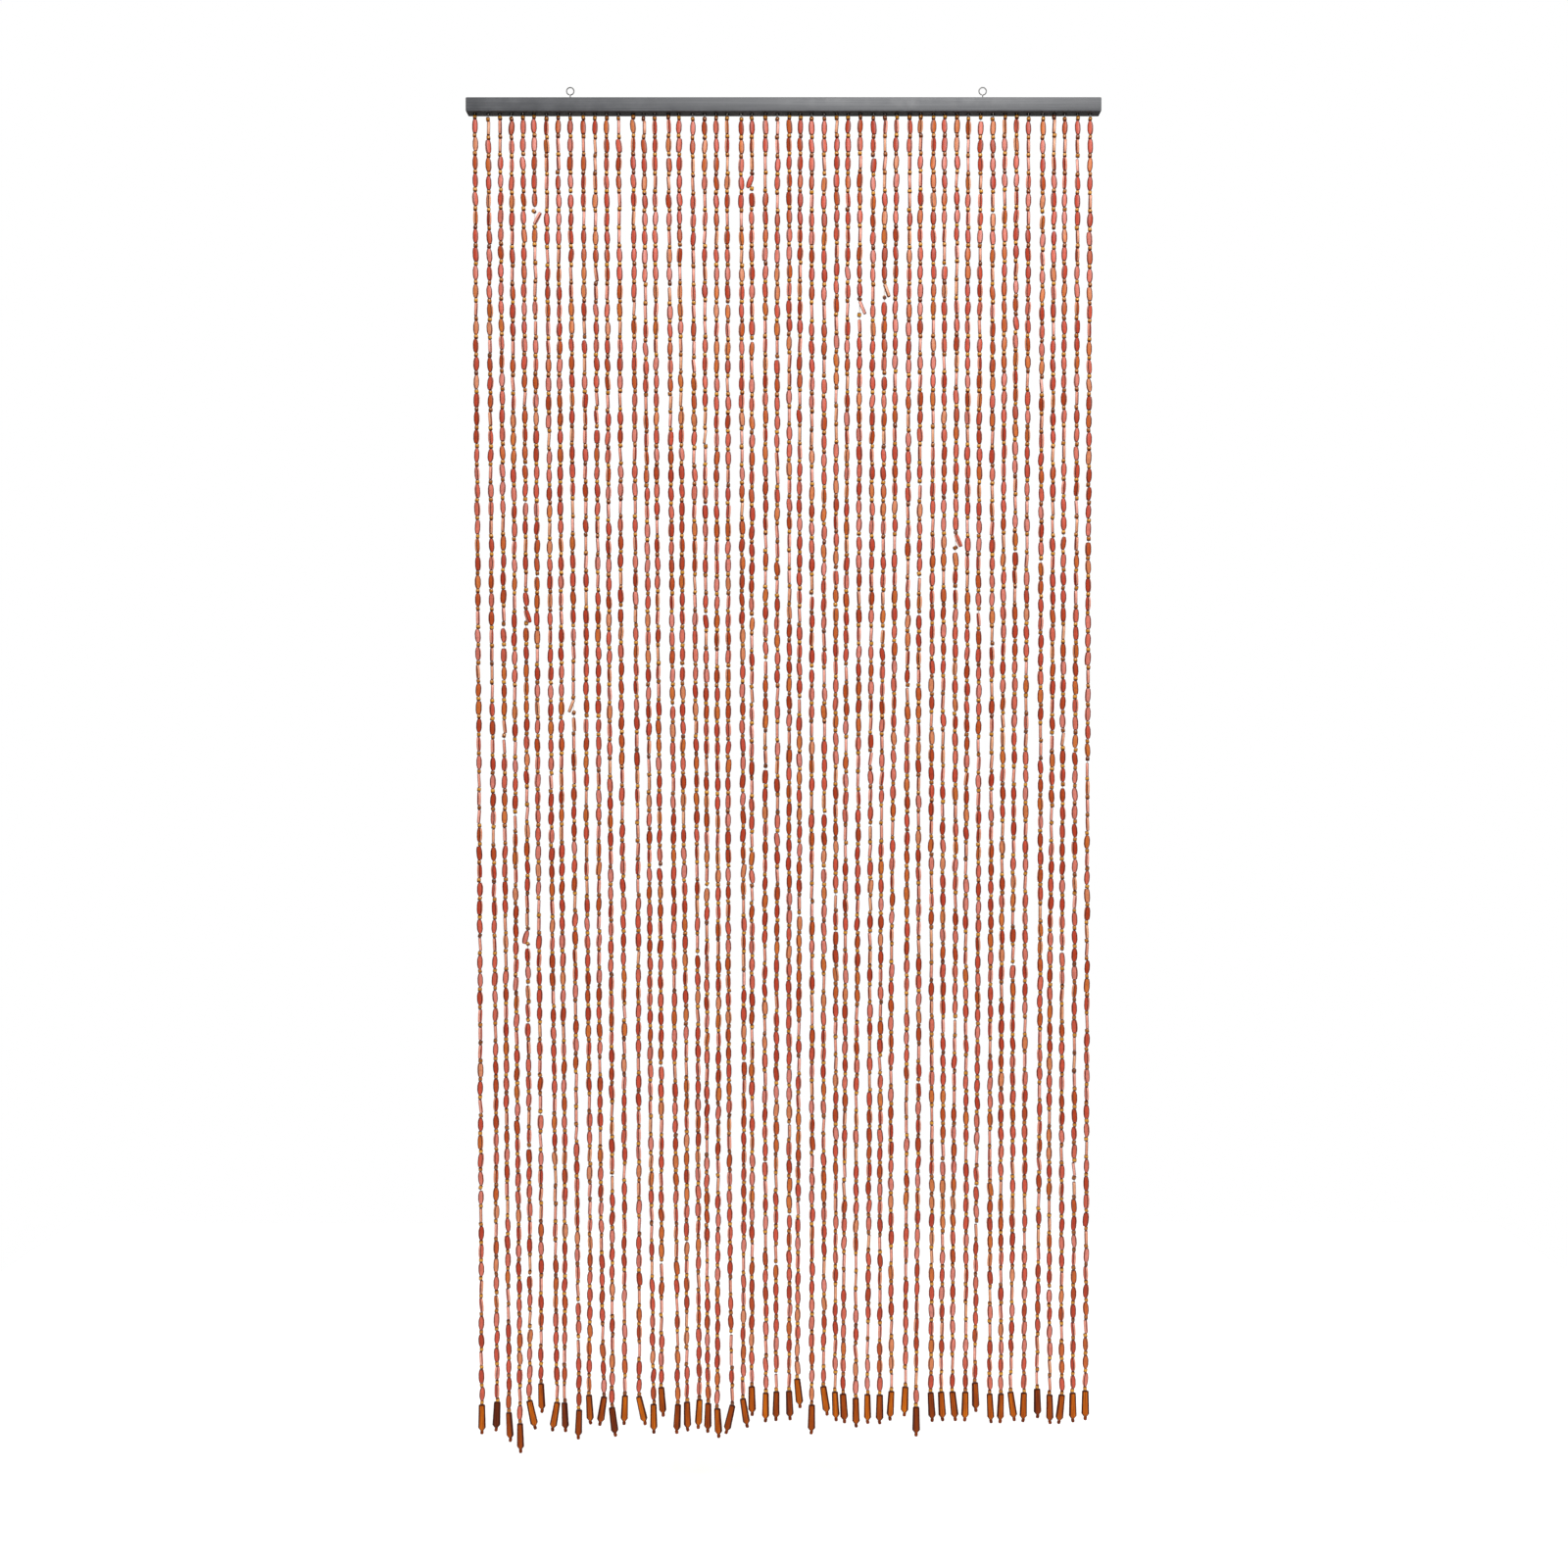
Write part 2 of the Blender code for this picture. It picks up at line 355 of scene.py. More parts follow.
# Painted shade for the underside and the thread holes: near black, mottled
painted_underside_shade = add_node(
    paint,
    "ValToRGB",
    {"Fac": half.outputs[0]},
    stops=((0.4, "#0e0c0c"), (0.5, "#201c1b"), (0.62, "#403a39")),
)
below = add_node(paint, "Attribute", attribute_name="below").outputs["Fac"]
colour = add_node(
    paint,
    "Mix",
    {"Factor": below, 6: coat.outputs["Color"], 7: painted_underside_shade.outputs["Color"]},
    data_type="RGBA",
)
feed(paint, colour.outputs[2], shader, "Base Color")
dull = add_node(
    paint,
    "MapRange",
    {"Value": cloud.outputs["Fac"], "From Min": 0.3, "From Max": 0.7, "To Min": 0.42, "To Max": 0.58},
)
feed(paint, dull.outputs[0], shader, "Roughness")
ridges = add_node(
    paint, "Bump", {"Height": grain.outputs["Fac"], "Strength": 0.35, "Distance": 0.0002}
)
feed(paint, ridges.outputs[0], shader, "Normal")
finish_piece(rail, "rail_painted", paint, "rail")


# Screw eyes: zinc plated wire, bent to a ring that closes beside its own shank, and screwed
# into the rail's top so that the ring faces the front. The wire's round section is spun
# round the ring's middle, short of a full turn, and the shank is united with its start.
EYE_RADIUS = 0.0052  # to the middle of the wire
WIRE_RADIUS = 0.0008
SHANK_RADIUS = 0.00075
RING_TURN = 346  # degrees
SHANK_CLEARANCE = 0.0003  # between the shank and the end of its hole

# Dull zinc plate on drawn steel: a mid grey metal with fine bright and dark crystals. They
# are drawn about 1 mm across, which is coarser than real, so that they show.
zinc, shader = new_material("zinc_plated_steel_wire", Metallic=1.0)
where = add_node(zinc, "TexCoord").outputs["Object"]
spangle = add_node(zinc, "TexNoise", {"Vector": where, "Scale": 900.0, "Detail": 3.0})
colour = add_node(
    zinc,
    "ValToRGB",
    {"Fac": spangle.outputs["Fac"]},
    stops=((0.3, "#4e4e4c"), (0.7, "#727270")),
)
feed(zinc, colour.outputs["Color"], shader, "Base Color")
smear = add_node(
    zinc, "MapRange", {"Value": spangle.outputs["Fac"], "To Min": 0.3, "To Max": 0.5}
)
feed(zinc, smear.outputs[0], shader, "Roughness")

for node_name, x in EYE_PLACES.items():
    eye = begin(
        bpy.ops.mesh.primitive_circle_add,
        vertices=12,
        radius=WIRE_RADIUS,
        fill_type="NGON",
        location=(x, 0, -EYE_RADIUS),
        rotation=(0, math.pi / 2, 0),
    )
    bpy.ops.object.mode_set(mode="EDIT")
    bpy.ops.mesh.select_all(action="SELECT")
    bpy.ops.mesh.spin(
        steps=48, angle=math.radians(RING_TURN), center=(x, 0, 0), axis=(0, 1, 0)
    )
    bpy.ops.mesh.select_all(action="SELECT")
    bpy.ops.mesh.remove_doubles(threshold=0.00001)
    bpy.ops.mesh.normals_make_consistent(inside=False)
    bpy.ops.object.mode_set(mode="OBJECT")
    shank_bottom = RAIL_TOP - EYE_HOLE_DEEP + SHANK_CLEARANCE
    shank = begin(
        bpy.ops.mesh.primitive_cylinder_add,
        vertices=16,
        radius=SHANK_RADIUS,
        depth=-EYE_RADIUS - shank_bottom,
        location=(x, 0, (shank_bottom - EYE_RADIUS) / 2),
    )
    join = eye.modifiers.new("shank", "BOOLEAN")
    join.operation = "UNION"
    join.object = shank
    with bpy.context.temp_override(object=eye, active_object=eye):
        bpy.ops.object.modifier_apply(modifier="shank")
    bpy.data.objects.remove(shank)
    finish_piece(eye, node_name + "_wire", zinc, node_name, sharp_degrees=50)


# Threads: clear nylon line, doubled, tied off inside its hole in the rail and run down
# through every bead of a string. It shows in the first few millimetres and between beads.
# One thread is a thin strip of four sides, carried along the string's route.
THREAD_RADIUS = 0.0006
THREAD_STEP = 0.0256  # about one pair of beads
THREAD_LOWERED = 0.001  # from the end of its hole, and so into the pendant

thread_points = []
thread_faces = []
for string in strings:
    reach = string.length - END_BEAD_LENGTH - PENDANT_LENGTH + THREAD_HOLE_DEEP
    steps = math.ceil(reach / THREAD_STEP)
    first = len(thread_points)
    for step in range(steps + 1):
        depth = THREAD_LOWERED - THREAD_HOLE_DEEP + reach * step / steps
        centre = string_point(string, depth)
        for corner in range(4):
            round_it = math.tau * corner / 4
            offset = Vector((math.cos(round_it), math.sin(round_it), 0)) * THREAD_RADIUS
            thread_points.append(centre + offset)
    for step in range(steps):
        for corner in range(4):
            a = first + step * 4 + corner
            b = first + step * 4 + (corner + 1) % 4
            thread_faces.append((a, a + 4, b + 4, b))
    thread_faces.append((first, first + 1, first + 2, first + 3))
    last = first + steps * 4
    thread_faces.append((last + 3, last + 2, last + 1, last))
thread_mesh = bpy.data.meshes.new("threads")
thread_mesh.from_pydata(thread_points, [], thread_faces)
threads = bpy.data.objects.new("threads", thread_mesh)
bpy.context.collection.objects.link(threads)

# Nylon monofilament, drawn: a milky, half clear line with a smooth skin that glints.
nylon, shader = new_material(
    "clear_nylon_monofilament",
    Base_Color=linear("#f2efe8"),
    Roughness=0.22,
    IOR=1.53,
    Transmission_Weight=0.2,
)
finish_piece(threads, "threads", nylon, "strings", sharp_degrees=80)


# Barrel beads: flat slips of wood, bulging to the middle, sawn off at both ends and drilled
# lengthwise. They were stained in one batch of coral, which took redder on some and browner
# on others. Their narrow sides are paler, partly from thinner stain and partly as painted
# sheen, and their edges and ends are darkened as painted shade. One is cut from a block.
BARREL_LENGTH = 0.0193
BARREL_WIDTH = 0.0083  # at the middle
BARREL_END_WIDTHS = {"tapered": 0.0040, "blunt": 0.0054}
BARREL_THICKNESS = 0.0042
BARREL_CUTS = (0.36, 0.72, 0.93)  # of half the length; an end is rounded beyond the last
BARREL_BULGE = 2.2  # the power of that share by which a barrel narrows towards its ends
BARREL_END_ROUNDING = 0.0010  # taken off an end's width and thickness by its rounding
BARREL_EDGE = 0.0006  # taken off the narrow sides by the rounding of the corners
BARREL_BROAD_EDGE = 0.0014  # taken off the broad sides
BEAD_GAP = 0.0002  # between two beads on a thread
PAIR_LENGTH = BARREL_LENGTH + SPACER_LENGTH + BEAD_GAP
SAME_LEVEL = 0.0002  # points of a bead that are nearer in height are level
PATTERN_RANGE = 900  # a bead's number, which shifts its pattern, is drawn below this
STRINGS_IN_GROUP = 13
BROAD_SHARE = 0.62  # of the beads, broad side to the front
NARROW_SHARE = 0.18  # narrow side to the front
TAPERED_SHARE = 0.68
BARE_SHARE = 0.03  # of the pairs, with bare thread between spacer and barrel
BARE_LENGTHS = (0.0014, 0.0032)  # of that thread

# Barrels that hang by a split end, so that the other end stands off the thread: how far they
# tip, the end that still holds, the side that they show (0 the broad one) and their tone
Askew = namedtuple("Askew", "string bead degrees held_above turn tone")
ASKEW = (
    Askew(5, 28, -14, True, 50, 0.52),
    Askew(5, 46, 17, True, 20, 0.10),
    Askew(6, 6, 24, False, 82, 0.00),
    Askew(9, 33, 21, True, 90, 1.00),
    Askew(24, 4, 18, True, 12, 0.36),
    Askew(33, 11, -25, True, 80, 0.05),
    Askew(35, 10, -20, True, 95, 0.90),
    Askew(41, 24, -23, True, 50, 0.20),
)
SLIPPED = 0.0035  # how far the spacer beside a loose end has slipped past it


def many(shape, beads):
    """One piece that holds a copy of a bead for each matrix, tone and number in the list. Each
    copy carries its tone and number, its points' places on the bead, and its own square of
    the map."""
    placed, tone, number = zip(*beads)
    source = shape.data
    count = len(placed)
    points = np.empty(len(source.vertices) * 3)
    source.vertices.foreach_get("co", points)
    points = points.reshape(-1, 3)
    corners = np.empty(len(source.loops), np.int32)
    source.loops.foreach_get("vertex_index", corners)
    starts = np.empty(len(source.polygons), np.int32)
    source.polygons.foreach_get("loop_start", starts)
    unwrapped = np.empty(len(source.loops) * 2, np.float32)
    source.uv_layers["OFBake"].uv.foreach_get("vector", unwrapped)

    matrices = np.array([np.array(m) for m in placed])
    moved = np.einsum("nij,pj->npi", matrices[:, :3, :3], points) + matrices[:, None, :3, 3]
    copies = np.arange(count)[:, None]
    mesh = bpy.data.meshes.new(shape.name)
    mesh.vertices.add(count * len(points))
    mesh.vertices.foreach_set("co", moved.ravel())
    mesh.loops.add(count * len(corners))
    mesh.loops.foreach_set("vertex_index", (corners + copies * len(points)).ravel())
    mesh.polygons.add(count * len(starts))
    mesh.polygons.foreach_set("loop_start", (starts + copies * len(corners)).ravel())
    mesh.update(calc_edges=True)

    squares = math.ceil(math.sqrt(count))
    corner_of = np.stack((np.arange(count) % squares, np.arange(count) // squares), 1)
    laid = (corner_of[:, None] + unwrapped.reshape(-1, 2)[None]) / squares
    mesh.uv_layers.new(name="OFBake")
    mesh.uv_layers["OFBake"].uv.foreach_set("vector", laid.astype(np.float32).ravel())

    def keep(called, kind, domain, values):
        layer = mesh.attributes.new(called, kind, domain)
        key = "vector" if kind == "FLOAT_VECTOR" else "value"
        layer.data.foreach_set(key, np.asarray(values, np.float32).ravel())

    keep("tone", "FLOAT", "POINT", np.repeat(tone, len(points)))
    keep("number", "FLOAT", "POINT", np.repeat(number, len(points)))
    keep("place", "FLOAT_VECTOR", "POINT", np.tile(points, (count, 1)))
    for called in ("side", "edge", "end"):
        if called in source.attributes:
            values = np.empty(len(starts), np.float32)
            source.attributes[called].data.foreach_get("value", values)
            keep(called, "FLOAT", "FACE", np.tile(values, count))
    piece = bpy.data.objects.new(shape.name, mesh)
    bpy.context.collection.objects.link(piece)
    return piece


def lay_out(shape):
    """Unwraps a bead onto a square, with a margin for its neighbours in the shared map."""
    shape.data.uv_layers[0].name = "OFBake"
    bpy.ops.object.select_all(action="DESELECT")
    shape.select_set(True)
    bpy.context.view_layer.objects.active = shape
    bpy.ops.object.mode_set(mode="EDIT")
    bpy.ops.mesh.select_all(action="SELECT")
    bpy.ops.uv.smart_project(angle_limit=math.radians(50), island_margin=0.04)
    bpy.ops.object.mode_set(mode="OBJECT")


def cut_across(heights):
    """In edit mode, cuts an upright bead across at each height."""
    for height in heights:
        bpy.ops.mesh.select_all(action="SELECT")
        bpy.ops.mesh.bisect(plane_co=(0, 0, height), plane_no=(0, 0, 1))


def narrow_at(height, wide, deep):
    """In edit mode, scales a bead's width and depth at one height."""
    pick("VERT", lambda v: abs(v.co.z - height) < SAME_LEVEL)
    bpy.ops.transform.resize(value=(wide, deep, 1), center_override=(0, 0, height))


def plane_corners(offset):
    """In edit mode, planes a flat on each edge that runs along a bead."""
    pick("EDGE", lambda e: abs(e.verts[0].co.z - e.verts[1].co.z) > SAME_LEVEL)
    bpy.ops.mesh.bevel(offset=offset, segments=1, affect="EDGES")


def carve_barrel(end_width):
    """A barrel bead, upright, with its middle at the origin and its broad sides facing Y."""
    barrel = begin(
        bpy.ops.mesh.primitive_cube_add,
        size=1,
        scale=(BARREL_WIDTH, BARREL_THICKNESS, BARREL_LENGTH),
    )
    half = BARREL_LENGTH / 2
    cuts = [side * share for share in BARREL_CUTS for side in (-1, 1)]
    bpy.ops.object.mode_set(mode="EDIT")
    cut_across([share * half for share in cuts])
    for share in (-1, *cuts, 1):
        wide = 1 - (1 - end_width / BARREL_WIDTH) * abs(share) ** BARREL_BULGE
        deep = 1
        if abs(share) == 1:
            wide -= BARREL_END_ROUNDING / BARREL_WIDTH
            deep -= BARREL_END_ROUNDING / BARREL_THICKNESS
        narrow_at(share * half, wide, deep)
    plane_corners(BARREL_EDGE)
    broad_at_end = (BARREL_THICKNESS - BARREL_END_ROUNDING) / 2
    bevelled = BARREL_THICKNESS / 2 - BARREL_EDGE
    pick("VERT", lambda v: abs(v.co.y) > (broad_at_end + bevelled) / 2)
    kept = BARREL_WIDTH / 2 - BARREL_BROAD_EDGE
    narrowing = kept / (BARREL_WIDTH / 2 - BARREL_EDGE)
    bpy.ops.transform.resize(value=(narrowing, 1, 1), center_override=(0, 0, 0))
    bpy.ops.object.mode_set(mode="OBJECT")
    # Faces for the painted shade (the ends and the chamfered edges), and the narrow sides, which are
    # painted paler
    mark_faces(barrel, "end", lambda f: abs(f.normal.z) > 0.4)
    mark_faces(barrel, "side", lambda f: abs(f.normal.y) < 0.3 and abs(f.normal.z) < 0.4)
    mark_faces(barrel, "edge", lambda f: 0.3 < abs(f.normal.y) < 0.98 and abs(f.normal.z) < 0.4)
    lay_out(barrel)
    return barrel


def stringing():
    """The place of every bead: lists of barrels and of spacers, each bead as its string's
    number, its middle's depth, its length, and the row of the loose barrel it is or lies by."""
    draw = random.Random(SEED + 1)
    askew = {(row.string, row.bead): row for row in ASKEW}
    barrels, spacers = [], []
    for number, string in enumerate(strings, 1):
        room = string.length - END_BEAD_LENGTH - PENDANT_LENGTH - string.thread
        pairs = round((room - SPACER_LENGTH) / PAIR_LENGTH)
        threaded = []
        for pair in range(1, pairs + 1):
            above, here = askew.get((number, pair - 1)), askew.get((number, pair))
            slip = SLIPPED * bool(here and not here.held_above)
            slip -= SLIPPED * bool(above and above.held_above)
            spacer_length = SPACER_LENGTH * draw.uniform(0.92, 1.08)
            threaded.append((spacers, spacer_length, above or here, slip))
            bare = draw.uniform(*BARE_LENGTHS)
            if draw.random() < BARE_SHARE:
                threaded.append((None, bare, None, 0))
            threaded.append((barrels, BARREL_LENGTH * draw.uniform(0.965, 1.035), here, 0))
        threaded.append((spacers, SPACER_LENGTH, None, 0))
        fit = room / sum(length for beads, length, row, slip in threaded)
        depth = string.thread
        for beads, length, row, slip in threaded:
            room_here = length * fit
            if beads is not None:
                middle = depth + room_here / 2 + slip
                beads.append((number, middle, room_here - BEAD_GAP, row))
            depth += room_here
    return barrels, spacers


def along_string(string, depth):
    """A string's direction at a depth, downwards."""
    step = 0.004
    return (string_point(string, depth + step) - string_point(string, depth - step)).normalized()


barrel_places, spacer_places = stringing()

# Stained and varnished hardwood: fine straight grain along the bead under a thin satin
# varnish. The chamfered edges and the ends are painted dark red-brown as painted shade, and
# the narrow sides are paler, partly stain worn thin and partly painted sheen.
stain, shader = new_material(
    "coral_stained_varnished_wood",
    IOR=1.5,
    Specular_IOR_Level=0.22,
    Coat_Weight=0.10,
    Coat_Roughness=0.25,
)
tone = add_node(stain, "Attribute", attribute_name="tone").outputs["Fac"]
number = add_node(stain, "Attribute", attribute_name="number").outputs["Fac"]
place = add_node(stain, "Attribute", attribute_name="place").outputs["Vector"]
side = add_node(stain, "Attribute", attribute_name="side").outputs["Fac"]
edge = add_node(stain, "Attribute", attribute_name="edge").outputs["Fac"]
end = add_node(stain, "Attribute", attribute_name="end").outputs["Fac"]
# Grain lines about 0.5 mm wide and 12 mm long, and patches of stain about 5 mm across
fibres = add_node(stain, "Mapping", {"Vector": place, "Scale": (2000, 2000, 80)})
grain = add_node(
    stain,
    "TexNoise",
    {"Vector": fibres.outputs[0], "W": number, "Scale": 1.0, "Detail": 3.0},
    noise_dimensions="4D",
)
patch = add_node(
    stain,
    "TexNoise",
    {"Vector": place, "W": number, "Scale": 220.0, "Detail": 2.0},
    noise_dimensions="4D",
)
batch = add_node(
    stain,
    "ValToRGB",
    {"Fac": tone},
    stops=(
        (0.0, "#c47668"),
        (0.18, "#c0624e"),
        (0.37, "#b84a34"),
        (0.56, "#a4351d"),
        (0.70, "#9c3712"),
        (0.82, "#aa4a18"),
        (0.92, "#ba642a"),
        (1.0, "#c47e5c"),
    ),
)
# Paler narrow sides: partly a thinner stain, partly painted sheen
pale = add_node(
    stain,
    "ValToRGB",
    {"Fac": tone},
    stops=((0.0, "#da9c8c"), (0.5, "#ce8c76"), (1.0, "#ce9874")),
)
thin = add_node(stain, "Math", {0: side, 1: 0.8}, operation="MULTIPLY")
body = add_node(
    stain,
    "Mix",
    {"Factor": thin.outputs[0], 6: batch.outputs["Color"], 7: pale.outputs["Color"]},
    data_type="RGBA",
)
# Painted shade: the chamfered edges darkened nearly to black-red
painted_shade_share = add_node(stain, "Math", {0: edge, 1: 0.9}, operation="MULTIPLY")
with_painted_shade = add_node(
    stain,
    "Mix",
    {"Factor": painted_shade_share.outputs[0], 6: body.outputs[2], 7: linear("#4a0e05")},
    data_type="RGBA",
)
# Painted shade at the ends, where one bead meets the next
sawn = add_node(stain, "Math", {0: end, 1: 0.9}, operation="MULTIPLY")
with_end_shade = add_node(
    stain,
    "Mix",
    {"Factor": sawn.outputs[0], 6: with_painted_shade.outputs[2], 7: linear("#521006")},
    data_type="RGBA",
)
uneven = add_node(
    stain, "Math", {0: grain.outputs["Fac"], 1: patch.outputs["Fac"]}, operation="ADD"
)
shade = add_node(
    stain,
    "MapRange",
    {"Value": uneven.outputs[0], "From Min": 0.7, "From Max": 1.3, "To Min": 0.78, "To Max": 1.18},
)
wood = add_node(
    stain,
    "Mix",
    {"Factor": 1.0, 6: with_end_shade.outputs[2], 7: shade.outputs[0]},
    data_type="RGBA",
    blend_type="MULTIPLY",
)
feed(stain, wood.outputs[2], shader, "Base Color")
dull = add_node(
    stain,
    "MapRange",
    {"Value": grain.outputs["Fac"], "From Min": 0.3, "From Max": 0.7, "To Min": 0.34, "To Max": 0.5},
)
feed(stain, dull.outputs[0], shader, "Roughness")
pores = add_node(
    stain, "Bump", {"Height": grain.outputs["Fac"], "Strength": 0.3, "Distance": 0.0001}
)
feed(stain, pores.outputs[0], shader, "Normal")

draw = random.Random(SEED + 2)
groups = {}
for string_number, depth, length, row in barrel_places:
    string = strings[string_number - 1]
    kind = draw.random()
    if kind < BROAD_SHARE:
        turn = draw.gauss(0, 14)
    elif kind < BROAD_SHARE + NARROW_SHARE:
        turn = draw.gauss(90, 10)
    else:
        turn = draw.choice((-1, 1)) * draw.uniform(22, 68)
    lean = (draw.gauss(0, 1.8), draw.gauss(0, 2.4))
    shift = (draw.gauss(0, 0.00025), draw.gauss(0, 0.0003))
    plump = draw.uniform(0.94, 1.06)
    tone_here = draw.random()
    if row:
        turn, tone_here = row.turn, row.tone
    turned = Matrix.Rotation(math.radians(turn), 4, "Z")
    leaned = Matrix.Rotation(math.radians(lean[0]), 4, "X") @ Matrix.Rotation(
        math.radians(lean[1]), 4, "Y"
    )
    centre = string_point(string, depth) + Vector((*shift, 0))
    upwards = -along_string(string, depth)
    follow = Vector((0, 0, 1)).rotation_difference(upwards).to_matrix().to_4x4()
    if row:
        held = Vector((0, 0, length / 2 if row.held_above else -length / 2))
        tipped = Matrix.Rotation(math.radians(row.degrees), 4, "Y")
        tipped = Matrix.Translation(held) @ tipped @ Matrix.Translation(-held)
    else:
        tipped = Matrix.Identity(4)
    size = Matrix.Diagonal((plump, plump, length / BARREL_LENGTH, 1))
    upright = Matrix.Translation(centre) @ follow
    form = "tapered" if draw.random() < TAPERED_SHARE else "blunt"
    groups.setdefault((form, (string_number - 1) // STRINGS_IN_GROUP), []).append(
        (
            upright @ tipped @ leaned @ turned @ size,
            tone_here,
            draw.uniform(0, PATTERN_RANGE),
        )
    )

for form, end_width in BARREL_END_WIDTHS.items():
    barrel = carve_barrel(end_width)
    for group in range(STRING_COUNT // STRINGS_IN_GROUP):
        piece = many(barrel, groups[form, group])
        name = f"{form}_barrel_beads_{group + 1}"
        finish_piece(piece, name, stain, "strings")
    bpy.data.objects.remove(barrel)


# Spacer beads: small turned wooden beads between the barrels, tumbled in golden ochre lacquer.
# Their ends are painted dark brown, more at the lower end: painted shade between the beads and
# under each bead. They are glossy, loose on the thread, and so they sit a little crooked.
SPACER_WIDTH = 0.0060
BEAD_SHOULDER = 0.6  # of half the length, where a turned bead's shoulders begin
BEAD_SHOULDER_WIDTH = 0.97  # of the full width, there
BEAD_END_WIDTH = 0.74  # of the full width, at both ends
SPACER_TIP = 7  # degrees, by which most spacers tip on the thread or less
SPACER_TIP_BY_LOOSE_BARREL = 40


def turned_bead(length, width):
    """A round bead with rounded shoulders, upright, its middle at the origin."""
    bead = begin(
        bpy.ops.mesh.primitive_cylinder_add, vertices=10, radius=width / 2, depth=length
    )
    bpy.ops.object.mode_set(mode="EDIT")
    cut_across([-BEAD_SHOULDER * length / 2, 0, BEAD_SHOULDER * length / 2])
    for share, width_left in ((BEAD_SHOULDER, BEAD_SHOULDER_WIDTH), (1, BEAD_END_WIDTH)):
        for side in (-1, 1):
            narrow_at(side * share * length / 2, width_left, width_left)
    bpy.ops.object.mode_set(mode="OBJECT")
    mark_faces(bead, "end", lambda f: abs(f.normal.z) > 0.8)
    lay_out(bead)
    return bead


spacer = turned_bead(SPACER_LENGTH, SPACER_WIDTH)

# Lacquered beech: golden ochre and glossy, with painted shade in dark brown over the last
# third at both ends, a little more of it at the lower one. The clouds in it are about 2 mm
# across.
lacquer, shader = new_material(
    "golden_ochre_lacquered_beech",
    IOR=1.5,
    Specular_IOR_Level=0.25,
    Coat_Weight=0.5,
    Coat_Roughness=0.08,
)
tone = add_node(lacquer, "Attribute", attribute_name="tone").outputs["Fac"]
number = add_node(lacquer, "Attribute", attribute_name="number").outputs["Fac"]
place = add_node(lacquer, "Attribute", attribute_name="place").outputs["Vector"]
batch = add_node(
    lacquer,
    "ValToRGB",
    {"Fac": tone},
    stops=(
        (0.0, "#c68a26"),
        (0.40, "#b27412"),
        (0.72, "#a2600c"),
        (0.93, "#884a0c"),
        (1.0, "#68340a"),
    ),
)
heights = add_node(lacquer, "SeparateXYZ", {"Vector": place})
# Painted shade at both ends, shifted down so that more of it is at the lower end
shade_shifted_down = add_node(
    lacquer, "Math", {0: heights.outputs["Z"], 1: SPACER_LENGTH * 0.07}, operation="SUBTRACT"
)
from_middle = add_node(lacquer, "Math", {0: shade_shifted_down.outputs[0]}, operation="ABSOLUTE")
painted_shade_share = add_node(
    lacquer,
    "MapRange",
    {
        "Value": from_middle.outputs[0],
        "From Min": SPACER_LENGTH * 0.17,
        "From Max": SPACER_LENGTH * 0.38,
        "To Min": 0.0,
        "To Max": 0.94,
    },
)
patch = add_node(
    lacquer,
    "TexNoise",
    {"Vector": place, "W": number, "Scale": 500.0, "Detail": 3.0},
    noise_dimensions="4D",
)
cloudy = add_node(
    lacquer,
    "MapRange",
    {"Value": patch.outputs["Fac"], "From Min": 0.3, "From Max": 0.7, "To Min": 0.8, "To Max": 1.15},
)
bright = add_node(
    lacquer,
    "Mix",
    {"Factor": 1.0, 6: batch.outputs["Color"], 7: cloudy.outputs[0]},
    data_type="RGBA",
    blend_type="MULTIPLY",
)
# Mixes in the painted shade: dark brown at the ends
lacquer_with_painted_shade = add_node(
    lacquer,
    "Mix",
    {"Factor": painted_shade_share.outputs[0], 6: bright.outputs[2], 7: linear("#541c05")},
    data_type="RGBA",
)
feed(lacquer, lacquer_with_painted_shade.outputs[2], shader, "Base Color")
dull = add_node(
    lacquer,
    "MapRange",
    {"Value": patch.outputs["Fac"], "From Min": 0.3, "From Max": 0.7, "To Min": 0.22, "To Max": 0.38},
)
feed(lacquer, dull.outputs[0], shader, "Roughness")

draw = random.Random(SEED + 3)
groups = {}
for string_number, depth, length, row in spacer_places:
    string = strings[string_number - 1]
    tip = SPACER_TIP if row is None else SPACER_TIP_BY_LOOSE_BARREL
    tipped = Matrix.Rotation(math.radians(draw.gauss(0, tip)), 4, "X") @ Matrix.Rotation(
        math.radians(draw.gauss(0, tip)), 4, "Y"
    )
    turned = Matrix.Rotation(draw.uniform(0, math.tau), 4, "Z")
    shift = Vector((draw.gauss(0, 0.0003), draw.gauss(0, 0.0003), 0))
    plump = draw.uniform(0.9, 1.07)
    size = Matrix.Diagonal((plump, plump, length / SPACER_LENGTH, 1))
    centre = Matrix.Translation(string_point(string, depth) + shift)
    groups.setdefault((string_number - 1) // STRINGS_IN_GROUP, []).append(
        (centre @ tipped @ turned @ size, draw.random(), draw.uniform(0, PATTERN_RANGE))
    )
for group, beads in sorted(groups.items()):
    piece = many(spacer, beads)
    name = f"spacer_beads_{group + 1}"
    finish_piece(piece, name, lacquer, "strings", sharp_degrees=50)
bpy.data.objects.remove(spacer)


# Pendants: a long flat slip of wood at the foot of each string, wider downwards, with its
# corners planed off all round. Each hangs from its drilled top and swings as its string has
# curled, so that no two point the same way.
PENDANT_WIDTH = 0.0108
PENDANT_DEPTH = 0.0060
PENDANT_HEAD = 0.0012  # the height of the part that is planed round the top
PENDANT_PLANED = 0.0019  # taken off its long corners

